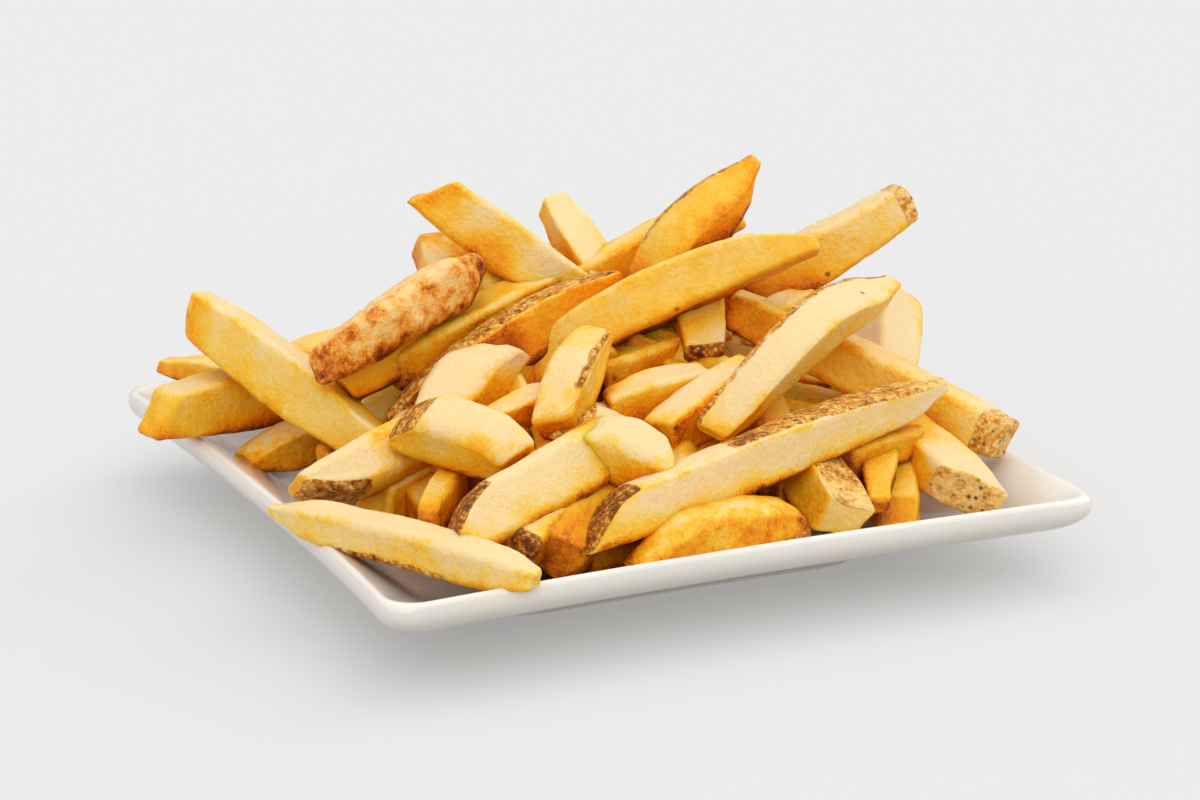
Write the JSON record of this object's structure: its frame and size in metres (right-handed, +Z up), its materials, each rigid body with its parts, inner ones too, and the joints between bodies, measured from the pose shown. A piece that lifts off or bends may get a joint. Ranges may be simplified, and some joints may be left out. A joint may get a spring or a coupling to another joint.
{
  "type": "portion of french fries",
  "caption": "Heaped side of thick-cut, skin-on french fries served on a small square porcelain dish with a raised lip.",
  "frame": {"origin": "middle of the dish's flat base, on the surface that it stands on", "axes": "+Z up, X and Y along the dish's sides, +X towards the side that the long front fry points at"},
  "size_m": [0.1948, 0.1816, 0.0867],
  "materials": {
    "porcelain": "glossy glaze",
    "fries": "lightly oiled, fried crust"
  },
  "bodies": {
    "root": {"plate": "porcelain", "fries_heap": "fries"}
  },
  "joints": []
}
